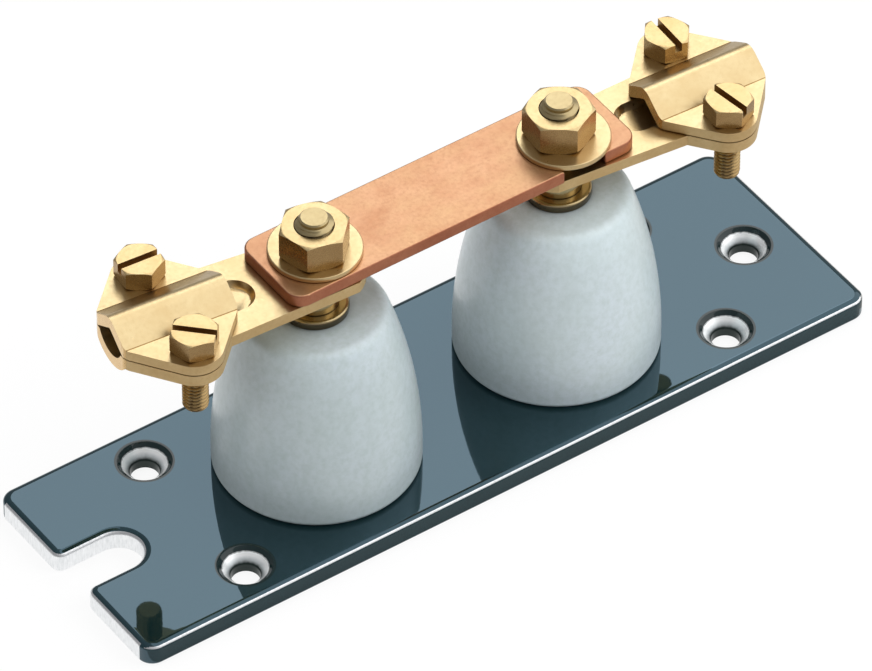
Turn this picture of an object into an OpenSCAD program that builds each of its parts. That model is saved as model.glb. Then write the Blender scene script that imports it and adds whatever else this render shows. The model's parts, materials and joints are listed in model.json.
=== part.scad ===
// Earth test link: two porcelain insulators on a base plate carry brass terminals
// with conductor clamps, joined by a copper link that swings clear for testing.
// Millimetres, +Z up, origin at the centre of the plate's underside, +X towards
// the end of the plate that has no slot.

/* [Base plate] */
// Length of the plate
plate_l = 180; // [165:1:220]
// Width of the plate
plate_w = 55; // [50:1:80]
// Thickness of the plate
plate_t = 5; // [4:0.5:8]
// Radius of the plate's corners in plan
plate_corner = 3.5; // [2:0.5:6]
// Bevel along the plate's top edges
plate_edge = 0.7; // [0.3:0.1:1.2]
// Width of the open slot in the left end
slot_w = 10.5; // [8:0.5:14]
// Depth of the open slot
slot_depth = 16.5; // [12:0.5:22]
// Spacing of the corner holes along the plate
fix_pitch_x = 120; // [110:1:140]
// Spacing of the corner holes across the plate
fix_pitch_y = 36.5; // [34:0.5:40]
// Distance of the single hole from the right end
end_hole_inset = 12; // [9:0.5:16]
// Diameter of the fixing holes
fix_hole_d = 6; // [5:0.1:6.6]
// Diameter of the countersinks at the plate's top
fix_csk_d = 11.4; // [9:0.1:13]

/* [Insulators] */
// Distance between the two studs
stud_pitch = 60; // [56:1:80]
// Diameter of an insulator's foot
ins_d = 43.2; // [36:0.2:46]
// Height of an insulator
ins_h = 41; // [36:0.5:60]
// Diameter at which the side would meet the top, before rounding
ins_head_d = 29.6; // [24:0.2:32]
// Height of the upright band at the foot
ins_foot_h = 3; // [2:0.5:6]
// Rounding of the foot's edge
ins_foot_edge = 1.2; // [0.5:0.1:1.8]
// Rounding of the shoulder
ins_shoulder = 2.6; // [1:0.1:4]
// Diameter of the metal inserts cemented into the porcelain
insert_d = 12; // [11:0.2:14]
// Depth of the metal inserts in the porcelain
insert_depth = 14; // [12:0.5:16]
// Diameter of the collar on the head insert
collar_d = 14; // [12.6:0.2:20]
// Height of the collar above the porcelain
collar_h = 2; // [1.5:0.5:6]
// Bevel around the collar's top
collar_edge = 0.5; // [0.2:0.1:0.8]
// Diameter of the spacer under a terminal bar
spacer_d = 9.8; // [9.4:0.2:12]
// Height of the spacer
spacer_h = 7; // [4:0.5:9]

/* [Studs and nuts] */
// Diameter of the studs
stud_d = 8; // [7:0.5:8.5]
// Length of a stud inside its insert
stud_grip = 12; // [8:0.5:12]
// Length of a stud above its nut
stud_proud = 2.2; // [1.5:0.1:6]
// Diameter of the plain point at a stud's upper end
stud_point_d = 6; // [5:0.2:6.4]
// Height of the point
stud_point_h = 1; // [0.6:0.1:1.2]
// Chamfer on the point
stud_chamfer = 0.3; // [0.1:0.1:0.5]
// Width of the nuts across their flats
nut_af = 13; // [12:0.5:15]
// Height of the nuts
nut_h = 6.8; // [4:0.1:8]
// Chamfer at the mouths of a nut's thread
nut_mouth = 0.5; // [0.2:0.1:0.8]
// Diameter of the link washers
washer_d = 19.4; // [16:0.2:20]
// Thickness of the link washers
washer_t = 1.2; // [1:0.1:2.5]
// Diameter of the hole in a link washer
washer_bore = 10.2; // [9:0.1:10.4]
// Direction in which each washer lies off its stud, left and right
washer_ways = [48, -57]; // [-180:1:180]
// Angle at which each nut came to rest, left and right
nut_turns = [45, 24.8]; // [0:0.1:60]

/* [Link] */
// Width of the link bar
link_w = 20.6; // [18:0.2:24]
// Thickness of the link bar
link_t = 3; // [2:0.5:5]
// Reach of the link bar past the left stud
link_reach = 10.9; // [10.5:0.1:14]
// Reach of the link bar past the right stud
link_tail = 13.4; // [11:0.1:15]
// Distance of the link bar's middle behind the line of its holes
link_set = 1; // [0:0.1:2]
// Radius of the link bar's corners
link_corner = 3.5; // [1:0.5:5]
// Width of the open slot over the right stud
link_slot_w = 10; // [9.8:0.1:11]

/* [Terminals and clamps] */
// Width of a terminal bar
bar_w = 21; // [18:0.5:24]
// Thickness of a terminal bar
bar_t = 2.6; // [2:0.1:4]
// Reach of a terminal bar inwards past its stud
bar_reach = 10; // [9:0.5:14]
// Distance from a stud to the middle of its clamp
clamp_reach = 33.3; // [31:0.1:38]
// Length of a clamp along the conductor
clamp_l = 25.6; // [22:0.2:28]
// Straight length of the clamp's ends
clamp_end_w = 16; // [15:0.5:18]
// Radius of the clamp's four corners
clamp_corner = 3; // [1:0.5:4]
// Radius of the clamp's tips around the screws
clamp_tip = 6; // [5.8:0.2:7]
// Thickness of a clamp cap
cap_t = 2.6; // [2:0.1:3.2]
// Width of the cap's rib where it leaves the flanges
rib_w = 12.8; // [12:0.2:14]
// Rise of the rib above the flanges
rib_rise = 3.6; // [2.5:0.1:5]
// Radius of the rib's ridge
rib_ridge = 3.4; // [3.3:0.1:5]
// Width of the conductor trough
trough_w = 9; // [7:0.5:11]
// Depth of the conductor trough
trough_depth = 3; // [2:0.1:4]
// Flat length of bar between the link and the end of the trough
trough_land = 0.6; // [0.2:0.1:4]
// Diameter of the clamp screws
screw_d = 5.4; // [4.5:0.1:6]
// Length of a clamp screw under its head
screw_l = 16; // [12:0.5:25]
// Chamfer on a clamp screw's end
screw_chamfer = 0.5; // [0.3:0.1:1]
// Width of the screw heads across their flats
head_af = 9; // [8:0.5:10]
// Height of the screw heads
head_h = 4.5; // [3:0.5:6]
// Width of the screwdriver slots
driver_w = 1.5; // [1:0.1:2]
// Depth of the screwdriver slots
driver_depth = 2; // [1:0.1:2.5]
// Angle at which each terminal came to rest about its stud, left and right
terminal_turns = [-6.2, -3.5]; // [-10:0.1:10]

/* [Fits] */
// Radial gap where a piece turns on another
turn_gap = 0.05; // [0.02:0.01:0.1]
// Radial gap of plain clearance holes
free_gap = 0.25; // [0.1:0.05:0.5]
// Gap between a clamp screw's head and the foot of the rib
head_gap = 0.8; // [0.2:0.05:1.2]
// Gap left for cement and for flush heads
cement_gap = 0.05; // [0.02:0.01:0.1]

/* [Hidden] */
$fn = 64;
// Length by which cuts run past the surfaces they open
over = 1;
// Distance by which a belt's straights run inside its circles, so that each meets its arc at a clean corner
hair = 0.002;

// Foot screws
foot_screw_d = 6;
foot_head_d = 11.8;
foot_screw_l = 16;
foot_driver_w = 1.6;
foot_driver_depth = 1.2;

// Heights of the stack, from the plate's underside
z_plate = plate_t;
z_head = z_plate + ins_h;
z_collar = z_head + collar_h;
z_bar = z_collar + spacer_h;
z_seat = z_bar + bar_t;
z_link = z_seat + link_t;
z_washer = z_link + washer_t;
z_nut = z_washer + nut_h;
z_stud = z_nut + stud_proud;
z_cap = z_seat + cap_t;

// Slopes of the chamfers that turn off a hexagon's corners, at its top and at its foot
hex_top_angle = 22;
hex_foot_angle = 35;

// Spacing of the two clamp screws, whose heads stand clear of the rib
screw_pitch = rib_w + head_af + 2 * head_gap;

// Conductor trough: an arc of the stated width and depth, with the bar's own wall
trough_r = (pow(trough_w / 2, 2) + pow(trough_depth, 2)) / (2 * trough_depth);
trough_z = z_seat - trough_depth + trough_r;
trough_end = link_tail + trough_land + trough_w / 2;

// Angle of the rib's flanks, which run straight from the flanges to the ridge
rib_half = rib_w / 2;
rib_drop = rib_rise - rib_ridge;
rib_angle = atan2(rib_drop, rib_half) + asin(rib_ridge / norm([rib_half, rib_drop]));
rib_inner_half = rib_half - cap_t * tan(rib_angle / 2);

// Insulator's side: an arc that leaves the foot upright and ends at the head
ins_r = ins_d / 2;
ins_drop = (ins_d - ins_head_d) / 2;
ins_rise = ins_h - ins_foot_h;
side_r = (pow(ins_rise, 2) + pow(ins_drop, 2)) / (2 * ins_drop);
side_x = ins_r - side_r;
// Shoulder arc, touching the side from inside and level with the top
shoulder_z = ins_h - ins_shoulder;
shoulder_x = side_x + sqrt(pow(side_r - ins_shoulder, 2) - pow(shoulder_z - ins_foot_h, 2));
shoulder_angle = atan2(shoulder_z - ins_foot_h, shoulder_x - side_x);
blend_z = ins_foot_h + side_r * sin(shoulder_angle);

// Distance by which a loose washer lies off its stud
washer_drift = (washer_bore - stud_d) / 2 - turn_gap;

// Hexagon angle and slot angle of each clamp screw, from its terminal's own axes
left_front_turn = [51.2, -38.8];
left_rear_turn = [31.2, 1.2];
right_front_turn = [28.5, -78.5];
right_rear_turn = [54.5, 90.5];

plate_black = "#15191c";
porcelain = "#c4ccd0";
brass = "#dcb868";
copper = "#d98f66";
steel = "#8f979c";

// Straight line that touches circles a and b, given as [x, y, r], on their outer side
function tangent(a, b) =
    let (way = [b.x - a.x, b.y - a.y],
         angle = atan2(way.y, way.x) - acos((a[2] - b[2]) / norm(way)))
    [for (c = [a, b]) [c.x + c[2] * cos(angle), c.y + c[2] * sin(angle)]];

// Outline of a belt around circles [x, y, r], listed anticlockwise
module belt(spots) {
    last = len(spots) - 1;
    cores = [for (spot = spots) [spot.x, spot.y, max(0, spot[2] - hair)]];
    polygon([for (i = [0 : last]) each tangent(cores[i], cores[i == last ? 0 : i + 1])]);
    for (spot = spots)
        if (spot[2] > 0)
            translate([spot.x, spot.y])
                circle(r = spot[2]);
}

// Round bush between two heights, with a through bore
module bush(d, bore, z0, z1) {
    translate([0, 0, z0])
        difference() {
            cylinder(d = d, h = z1 - z0);
            translate([0, 0, -over])
                cylinder(d = bore, h = z1 - z0 + 2 * over);
        }
}

// Rod that stands from z0 to z1 with a chamfered top end
module rod(d, z0, z1, chamfer) {
    translate([0, 0, z0])
        cylinder(d = d, h = z1 - z0 - chamfer);
    translate([0, 0, z1 - chamfer])
        cylinder(d1 = d, d2 = d - 2 * chamfer, h = chamfer);
}

// Hexagon whose corners are turned off at the top and at the foot
module hexagon(af, h) {
    corner_r = af / 2 / cos(30);
    fall = (corner_r - af / 2) * tan(hex_top_angle);
    foot = (corner_r - af / 2) * tan(hex_foot_angle);
    intersection() {
        cylinder(r = corner_r, h = h, $fn = 6);
        rotate_extrude()
            polygon([[0, 0], [af / 2, 0], [corner_r, foot], [corner_r, h - fall], [af / 2, h], [0, h]]);
    }
}

// Cut for a screw hole through the plate, countersunk at the top
module countersunk_hole() {
    depth = (fix_csk_d - fix_hole_d) / 2;
    translate([0, 0, -over])
        cylinder(d = fix_hole_d, h = plate_t + 2 * over);
    translate([0, 0, plate_t - depth])
        cylinder(d1 = fix_hole_d, d2 = fix_csk_d + 2 * over, h = depth + over);
}

// Countersunk shape of a foot screw's head and shank, grown by a gap
module foot_screw_form(gap, length) {
    shank = foot_screw_d + 2 * gap;
    head = foot_head_d + 2 * gap;
    cylinder(d1 = head, d2 = shank, h = (head - shank) / 2);
    cylinder(d = shank, h = length);
}

// Section of the plate across a width, with bevelled top edges
module plate_section(w) {
    polygon([
        [-w / 2, 0], [w / 2, 0], [w / 2, plate_t - plate_edge], [w / 2 - plate_edge, plate_t],
        [plate_edge - w / 2, plate_t], [-w / 2, plate_t - plate_edge],
    ]);
}

module plate_blank() {
    flat_l = plate_l - 2 * plate_corner;
    flat_w = plate_w - 2 * plate_corner;
    rotate([90, 0, 0])
        linear_extrude(flat_w, center = true)
            plate_section(plate_l);
    rotate([90, 0, 90])
        linear_extrude(flat_l, center = true)
            plate_section(plate_w);
    for (x = [-flat_l / 2, flat_l / 2], y = [-flat_w / 2, flat_w / 2])
        translate([x, y, 0])
            rod(2 * plate_corner, 0, plate_t, plate_edge);
}

// Cut for the open end slot, whose top edges are bevelled like the plate's
module end_slot() {
    r = slot_w / 2;
    run = slot_depth - r;
    brim = r + plate_edge + over;
    translate([-plate_l / 2 - over, 0, 0])
        rotate([90, 0, 90])
            linear_extrude(run + over)
                polygon([
                    [-r, -over], [r, -over], [r, plate_t - plate_edge], [brim, plate_t + over],
                    [-brim, plate_t + over], [-r, plate_t - plate_edge],
                ]);
    translate([run - plate_l / 2, 0, 0]) {
        translate([0, 0, -over])
            cylinder(r = r, h = plate_t + over);
        translate([0, 0, plate_t - plate_edge])
            cylinder(r1 = r, r2 = brim, h = plate_edge + over);
    }
}

module base_plate() {
    color(plate_black)
        difference() {
            plate_blank();
            end_slot();
            for (x = [-fix_pitch_x / 2, fix_pitch_x / 2], y = [-fix_pitch_y / 2, fix_pitch_y / 2])
                translate([x, y, 0])
                    countersunk_hole();
            translate([plate_l / 2 - end_hole_inset, 0, 0])
                countersunk_hole();
            for (x = [-stud_pitch / 2, stud_pitch / 2])
                translate([x, 0, 0])
                    foot_screw_form(2 * cement_gap, plate_t + over);
        }
}

// Half section of an insulator, standing on its foot
module insulator_section() {
    intersection() {
        translate([side_x, ins_foot_h])
            circle(r = side_r, $fn = 180);
        translate([0, ins_foot_h])
            square([ins_r, blend_z - ins_foot_h]);
    }
    translate([shoulder_x, shoulder_z])
        circle(r = ins_shoulder);
    translate([0, shoulder_z])
        square([shoulder_x, ins_shoulder]);
    translate([0, ins_foot_edge])
        square([ins_r, ins_foot_h - ins_foot_edge]);
    translate([ins_r - ins_foot_edge, ins_foot_edge])
        circle(r = ins_foot_edge);
    square([ins_r - ins_foot_edge, ins_foot_edge]);
}

module insulator() {
    socket_d = insert_d + 2 * cement_gap;
    socket_depth = insert_depth + cement_gap;
    color(porcelain)
        translate([0, 0, z_plate])
            difference() {
                rotate_extrude($fn = 96)
                    insulator_section();
                translate([0, 0, -over])
                    cylinder(d = socket_d, h = socket_depth + over);
                translate([0, 0, ins_h - socket_depth])
                    cylinder(d = socket_d, h = socket_depth + over);
            }
}

module foot_insert() {
    color(steel)
        bush(insert_d, foot_screw_d + 2 * cement_gap, z_plate, z_plate + insert_depth);
}

module foot_screw() {
    color(steel)
        difference() {
            foot_screw_form(0, foot_screw_l);
            translate([-foot_head_d, -foot_driver_w / 2, -over])
                cube([2 * foot_head_d, foot_driver_w, foot_driver_depth + over]);
        }
}

module head_insert() {
    bore = stud_d + 2 * cement_gap;
    color(brass)
        difference() {
            union() {
                translate([0, 0, z_head - insert_depth])
                    cylinder(d = insert_d, h = insert_depth);
                rod(collar_d, z_head, z_collar, collar_edge);
            }
            translate([0, 0, z_head - insert_depth - over])
                cylinder(d = bore, h = insert_depth + collar_h + 2 * over);
        }
}

module stud() {
    z_foot = z_head - stud_grip;
    z_point = z_stud - stud_point_h;
    lead = (stud_d - stud_point_d) / 4;
    color(brass) {
        translate([0, 0, z_foot])
            cylinder(d = stud_d, h = z_point - lead - z_foot);
        translate([0, 0, z_point - lead])
            cylinder(d1 = stud_d, d2 = stud_point_d, h = lead);
        rod(stud_point_d, z_point, z_stud, stud_chamfer);
    }
}

module spacer() {
    color(brass)
        bush(spacer_d, stud_d + 2 * turn_gap, z_collar, z_bar);
}

// Plan of a clamp about its middle: square ends along X, tips round the screws along Y
module clamp_outline() {
    x = clamp_l / 2 - clamp_corner;
    y = clamp_end_w / 2 - clamp_corner;
    tip_y = screw_pitch / 2;
    belt([
        [x, -y, clamp_corner], [x, y, clamp_corner], [0, tip_y, clamp_tip],
        [-x, y, clamp_corner], [-x, -y, clamp_corner], [0, -tip_y, clamp_tip],
    ]);
}

module screw_holes(d, z0, z1) {
    for (y = [-screw_pitch / 2, screw_pitch / 2])
        translate([clamp_reach, y, z0 - over])
            cylinder(d = d, h = z1 - z0 + 2 * over);
}

// Rod with a ball end, along the conductor from the trough's inner end to the given X.
// The ball's poles and the rod's seam are turned away from the trough's floor.
module trough_form(r, end_x) {
    translate([trough_end, 0, trough_z]) {
        rotate([90, 0, 0])
            sphere(r = r);
        rotate([0, 90, 0])
            rotate(180)
                cylinder(r = r, h = end_x - trough_end);
    }
}

// Plan of a terminal bar for the right stud, which stands at X = 0 here
module terminal_outline() {
    inner_x = link_corner - bar_reach;
    y = bar_w / 2 - link_corner;
    belt([
        [clamp_reach, -y, link_corner], [clamp_reach, y, link_corner],
        [inner_x, y, link_corner], [inner_x, -y, link_corner],
    ]);
    translate([clamp_reach, 0])
        clamp_outline();
}

// Terminal bar with the trough pressed down through it
module terminal_bar() {
    past_x = clamp_reach + clamp_l / 2 + over;
    wall_r = trough_r + bar_t;
    color(brass)
        difference() {
            union() {
                translate([0, 0, z_bar])
                    linear_extrude(bar_t)
                        terminal_outline();
                intersection() {
                    trough_form(wall_r, past_x);
                    translate([0, 0, z_seat - wall_r])
                        linear_extrude(wall_r)
                            terminal_outline();
                }
            }
            trough_form(trough_r, past_x);
            translate([0, 0, z_bar - over])
                cylinder(d = stud_d + 2 * free_gap, h = bar_t + 2 * over);
            screw_holes(screw_d + 2 * turn_gap, z_bar, z_seat);
        }
}

// Section of the cap across the conductor: flanges level with y = 0 and a roof-shaped rib
module cap_section() {
    half = screw_pitch / 2 + clamp_tip;
    difference() {
        union() {
            translate([-half, -cap_t])
                square([2 * half, cap_t]);
            belt([[-rib_half, 0, 0], [rib_half, 0, 0], [0, rib_drop, rib_ridge]]);
        }
        belt([
            [-rib_inner_half, -cap_t, 0], [rib_inner_half, -cap_t, 0],
            [0, rib_drop, rib_ridge - cap_t],
        ]);
        translate([-rib_inner_half, -cap_t - over])
            square([2 * rib_inner_half, over]);
    }
}

module clamp_cap() {
    color(brass)
        difference() {
            intersection() {
                translate([clamp_reach - clamp_l / 2, 0, z_cap])
                    rotate([90, 0, 90])
                        linear_extrude(clamp_l)
                            cap_section();
                translate([clamp_reach, 0, z_seat - over])
                    linear_extrude(cap_t + rib_rise + 2 * over)
                        clamp_outline();
            }
            screw_holes(screw_d + 2 * free_gap, z_seat, z_cap);
        }
}

// Slotted hexagon screw under its head at the cap's top; turn is [hexagon, slot] angles
module clamp_screw(turn) {
    color(brass)
        translate([0, 0, z_cap]) {
            difference() {
                rotate(turn[0])
                    hexagon(head_af, head_h);
                rotate(turn[1])
                    translate([-head_af, -driver_w / 2, head_h - driver_depth])
                        cube([2 * head_af, driver_w, driver_depth + over]);
            }
            mirror([0, 0, 1])
                rod(screw_d, 0, screw_l, screw_chamfer);
        }
}

module link_bar() {
    left_x = link_corner - link_reach - stud_pitch / 2;
    right_x = link_tail - link_corner + stud_pitch / 2;
    front_y = link_set + link_corner - link_w / 2;
    rear_y = link_set - link_corner + link_w / 2;
    color(copper)
        translate([0, 0, z_seat])
            difference() {
                linear_extrude(link_t)
                    belt([
                        [left_x, front_y, link_corner], [right_x, front_y, link_corner],
                        [right_x, rear_y, link_corner], [left_x, rear_y, link_corner],
                    ]);
                translate([-stud_pitch / 2, 0, -over])
                    cylinder(d = stud_d + 2 * turn_gap, h = link_t + 2 * over);
                translate([stud_pitch / 2, 0, -over]) {
                    cylinder(d = link_slot_w, h = link_t + 2 * over);
                    translate([-link_slot_w / 2, -link_w / 2 - over, 0])
                        cube([link_slot_w, link_w / 2 + over, link_t + 2 * over]);
                }
            }
}

module link_washer(way) {
    color(brass)
        translate([washer_drift * cos(way), washer_drift * sin(way), 0])
            bush(washer_d, washer_bore, z_link, z_washer);
}

module link_nut(turn) {
    bore = stud_d + 2 * turn_gap;
    mouth = bore + 2 * nut_mouth;
    color(brass)
        translate([0, 0, z_washer])
            difference() {
                rotate(turn)
                    hexagon(nut_af, nut_h);
                translate([0, 0, -over])
                    cylinder(d = bore, h = nut_h + 2 * over);
                translate([0, 0, -over])
                    cylinder(d1 = mouth + 2 * over, d2 = bore, h = nut_mouth + over);
                translate([0, 0, nut_h - nut_mouth])
                    cylinder(d1 = bore, d2 = mouth + 2 * over, h = nut_mouth + over);
            }
}

// Places for pieces on the left and right studs
module on_left() {
    translate([-stud_pitch / 2, 0, 0])
        children();
}

module on_right() {
    translate([stud_pitch / 2, 0, 0])
        children();
}

// Places for a terminal's pieces, drawn with the stud at X = 0 and the clamp towards +X
module left_terminal() {
    on_left()
        rotate(terminal_turns[0])
            mirror([1, 0, 0])
                children();
}

module right_terminal() {
    on_right()
        rotate(terminal_turns[1])
            children();
}

// Places of the clamp screws: row is -1 for the front and 1 for the rear
module at_left_screw(row) {
    on_left()
        rotate(terminal_turns[0])
            translate([-clamp_reach, row * screw_pitch / 2, 0])
                children();
}

module at_right_screw(row) {
    on_right()
        rotate(terminal_turns[1])
            translate([clamp_reach, row * screw_pitch / 2, 0])
                children();
}

base_plate();
on_left() insulator();  // left_insulator
on_right() insulator();  // right_insulator
on_left() foot_insert();  // left_foot_insert
on_right() foot_insert();  // right_foot_insert
on_left() foot_screw();  // left_foot_screw
on_right() foot_screw();  // right_foot_screw
on_left() head_insert();  // left_head_insert
on_right() head_insert();  // right_head_insert
on_left() stud();  // left_stud
on_right() stud();  // right_stud
on_left() spacer();  // left_spacer
on_right() spacer();  // right_spacer
left_terminal() terminal_bar();  // left_terminal_bar
right_terminal() terminal_bar();  // right_terminal_bar
left_terminal() clamp_cap();  // left_clamp_cap
right_terminal() clamp_cap();  // right_clamp_cap
at_left_screw(-1) clamp_screw(left_front_turn);  // left_front_screw
at_left_screw(1) clamp_screw(left_rear_turn);  // left_rear_screw
at_right_screw(-1) clamp_screw(right_front_turn);  // right_front_screw
at_right_screw(1) clamp_screw(right_rear_turn);  // right_rear_screw
link_bar();
on_left() link_washer(washer_ways[0]);  // left_link_washer
on_right() link_washer(washer_ways[1]);  // right_link_washer
on_left() link_nut(nut_turns[0]);  // left_link_nut
on_right() link_nut(nut_turns[1]);  // right_link_nut
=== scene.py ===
"""Looks of an earth test link: brass clamps and a copper link on porcelain, over a black plate."""
import json
import math

import bmesh
import bpy
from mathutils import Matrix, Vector

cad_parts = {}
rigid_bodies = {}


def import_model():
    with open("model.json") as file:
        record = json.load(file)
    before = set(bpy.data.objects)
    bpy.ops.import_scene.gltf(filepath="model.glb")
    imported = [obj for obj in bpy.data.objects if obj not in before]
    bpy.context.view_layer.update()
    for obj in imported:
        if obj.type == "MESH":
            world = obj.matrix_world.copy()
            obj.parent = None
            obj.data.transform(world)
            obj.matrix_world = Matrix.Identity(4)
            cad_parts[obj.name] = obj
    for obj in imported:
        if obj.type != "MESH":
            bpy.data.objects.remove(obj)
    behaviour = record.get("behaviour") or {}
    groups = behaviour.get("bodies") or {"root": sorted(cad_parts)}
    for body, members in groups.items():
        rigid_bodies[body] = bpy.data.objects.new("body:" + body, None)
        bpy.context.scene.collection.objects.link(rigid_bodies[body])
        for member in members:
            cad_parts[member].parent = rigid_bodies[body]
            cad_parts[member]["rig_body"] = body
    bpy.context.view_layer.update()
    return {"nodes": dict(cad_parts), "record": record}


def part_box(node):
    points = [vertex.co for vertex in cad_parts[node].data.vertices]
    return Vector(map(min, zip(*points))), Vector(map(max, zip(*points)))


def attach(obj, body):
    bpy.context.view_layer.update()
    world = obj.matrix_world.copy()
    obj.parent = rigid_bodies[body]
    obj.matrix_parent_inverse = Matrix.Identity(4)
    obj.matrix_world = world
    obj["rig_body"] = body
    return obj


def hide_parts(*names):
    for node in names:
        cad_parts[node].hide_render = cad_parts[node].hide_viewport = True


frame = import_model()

MM = 0.001
SIDES = ("left", "right")

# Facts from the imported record
mounts = {mount["name"]: mount for mount in frame["record"]["mounts"]}

# Camera, matched to the photograph's viewpoint: angles in degrees, distances in metres
VIEW_AZIMUTH = -35.06
VIEW_ELEVATION = 43.63
VIEW_DISTANCE = 2.0
VIEW_CENTRE = Vector((0, 0, 35 * MM))
VIEW_SHIFT_RIGHT = -0.26 * MM
VIEW_SHIFT_UP = -9.67 * MM
LENS_MM = 407.0
SENSOR_MM = 36
NEAREST_SEEN = 0.1
FARTHEST_SEEN = 60

# Lamps: the direction to each from the object and a sun's spread in degrees, distances and sizes in metres
SUN_DISTANCE = 3
KEY_AZIMUTH = 76
KEY_ELEVATION = 50
KEY_SPREAD = 80
KEY_STRENGTH = 1.2
LEFT_FILL_AZIMUTH = -98
LEFT_FILL_ELEVATION = 54
LEFT_FILL_SPREAD = 60
LEFT_FILL_STRENGTH = 1.35
FRONT_FILL_AZIMUTH = 42
FRONT_FILL_ELEVATION = 36
FRONT_FILL_DISTANCE = 0.4
FRONT_FILL_SIZE = 0.25
FRONT_FILL_POWER = 0.52
REAR_DISTANCE = 1.2
REAR_SIZE = 0.45
REAR_RADIANCE = 1.9

# World: the direction of its brighter side
BRIGHT_SIDE = (0.62, -0.28, 0.73)

# Floor, and the shade card seen only in reflections, in metres
FLOOR_SIZE = 24
FLOOR_DROP = 0.1 * MM
FLOOR_OWN_WHITE = 0.88
CARD_HEIGHT = 0.5 * MM
CARD_REAR_GAP = 0.06
CARD_LEFT_GAP = 0.03
CARD_REACH = 0.6

# Heights in millimetres above the plate's underside: where a hole's finish changes, and the band of painted
# shade near an insulator's head
HOLE_CONE_TOP_MM = (4.15, 4.4)
SHOULDER_SHADE_MM = (34, 40)

# Plate: its corners, rounded edges and end slot, the flat ring inside its edges, and the arcs' steps
PLATE_CORNER = 3.5 * MM
TOP_ROUND_IN = 1.7 * MM
TOP_ROUND_DOWN = 1.1 * MM
FOOT_ROUND = 0.7 * MM
FLAT_MARGIN = 0.4 * MM
SLOT_R = 5.25 * MM
SLOT_LIP = 2.2 * MM
CORNER_STEPS = 10
TOP_ROUND_STEPS = 12
FOOT_ROUND_STEPS = 4
SLOT_STEPS = 28
SLOT_LIP_STEPS = 6

# Plate's holes: bore and dish as (radius, height) upwards, then a rounded lip and a flat ring
HOLE_DISH = [(r * MM, z * MM) for r, z in (
    (3.2, 0), (3.0, 0.2), (3.0, 1.9), (3.12, 2.3), (3.4, 2.66), (3.8, 3.12), (4.2, 3.55), (4.6, 3.97),
    (5.0, 4.36), (5.25, 4.61))]
HOLE_LIP_AT = 5.785 * MM
HOLE_LIP_R = 0.35 * MM
HOLE_LIP_STEPS = 3
HOLE_FLAT_R = 6.2 * MM
FOOT_HOLE_R = 3.1 * MM
FOOT_HOLE_RIM_R = 6.0 * MM
FOOT_HOLE_CONE_H = 2.9 * MM
CIRCLE_POINTS = 48

# Plate's finishes: their order, bare steel on the ends, and a bright steel line along the front edge, a
# painted highlight
ENAMEL_INDEX = 0
STEEL_INDEX = 1
HOLE_INDEX = 2
BARE_END_IN = 3 * MM
BARE_END_TILT = 0.86
HIGHLIGHT_FACING = -0.4
HIGHLIGHT_TILTS = (0.54, 0.84)

# Threads: depth as a share of the pitch, crest and flank as shares of half a pitch, and the share of a
# step within which a mark takes the place of a level
STUD_PITCH = 1.25 * MM
STUD_POINT_H = 1 * MM
STUD_POINT_R = 3 * MM
STUD_POINT_EDGE = 0.3 * MM
SCREW_PITCH = 0.9 * MM
SCREW_R = 2.7 * MM
SCREW_CHAMFER = 0.5 * MM
SHANK_IN_HEAD = 0.5 * MM
THREAD_DEPTH = 0.5
THREAD_CREST = 0.12
THREAD_FLANK = 0.7
THREAD_SIDES = 72
THREAD_STEPS = 10
THREAD_MARK_NEAR = 0.3

# Clamps: order of their finishes, the last one painted shade; sheet thickness of a cap, width of the painted
# shade strip in its folds, the least angle of a fold in degrees, and the rounding of its lower rim, painted
# shade too
FACE_INDEX = 0
SIDE_INDEX = 1
END_INDEX = 2
SHADE_INDEX = 3
CAP_T = 2.6 * MM
FOLD_SHADE_WIDTH = 0.13 * MM
FOLD_ANGLE = 20
PARTING_SHADE_WIDTH = 0.32 * MM

# Clamp screws: the slot's painted shade; sides further out than its reach are the hexagon's, and level
# faces sunk deeper than this are the slot's
HEAD_SLOT_SHADE_INDEX = 2
HEAD_SLOT_REACH = 3.6 * MM
HEAD_SLOT_SUNK = 0.5 * MM

# Terminal bars: level floor at the trough's inner end, up to a distance from the stud, and the half-round
# end, with the angles in degrees at which it gets its points
TROUGH_FLOOR = 1.5 * MM
TROUGH_FLOOR_REACH = 20 * MM
END_REACH = 12 * MM
END_CUT_ANGLES = (0, 12, 24, 36)

# Nuts: points of the upper face within reach are drawn in to the mouth's radius
NUT_MOUTH_R = 4.15 * MM
NUT_MOUTH_REACH = 5 * MM

# Widths of rounded edges
BAR_EDGE = 0.3 * MM
CAP_EDGE = 0.35 * MM
HEAD_EDGE = 0.22 * MM
NUT_EDGE = 0.3 * MM
WASHER_EDGE = 0.25 * MM
COLLAR_EDGE = 0.3 * MM
SPACER_EDGE = 0.2 * MM
LINK_EDGE = 0.5 * MM

# Tilts of faces, as cosines: upright ones, ones along a direction, and what counts as a fold, rim or trough
UPRIGHT_TILT = 0.05
ALONG_TILT = 0.9
FOLD_TILT = 0.5
RIM_TILT = 0.1
TROUGH_TILT = 0.2

# Mix node: its sockets for colours, by number because their names are shared
MIX_FACTOR = 0
MIX_ONE = 6
MIX_OTHER = 7
MIX_RESULT = 2

# Tolerances of the mesh work, angles in degrees
EDGE_ANGLE = 24
SHARP_ANGLE = 34
FLAT_ANGLE = 0.6
SEAM_NEAR = 0.06 * MM
SLIVER_NEAR = 0.01 * MM
LEVEL_NEAR = 0.05 * MM
TOP_NEAR = 0.02 * MM
END_NEAR = 0.02 * MM
CUT_NEAR = 0.0001 * MM
WELD_NEAR = 0.001 * MM


def away(azimuth, elevation):
    """Unit vector that points from the object towards a viewer or a lamp."""
    a = math.radians(azimuth)
    e = math.radians(elevation)
    return Vector((math.sin(a) * math.cos(e), -math.cos(a) * math.cos(e), math.sin(e)))


def place(name, data):
    """New object for some data, linked to the scene."""
    thing = bpy.data.objects.new(name, data)
    bpy.context.scene.collection.objects.link(thing)
    return thing


# Node helpers

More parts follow.
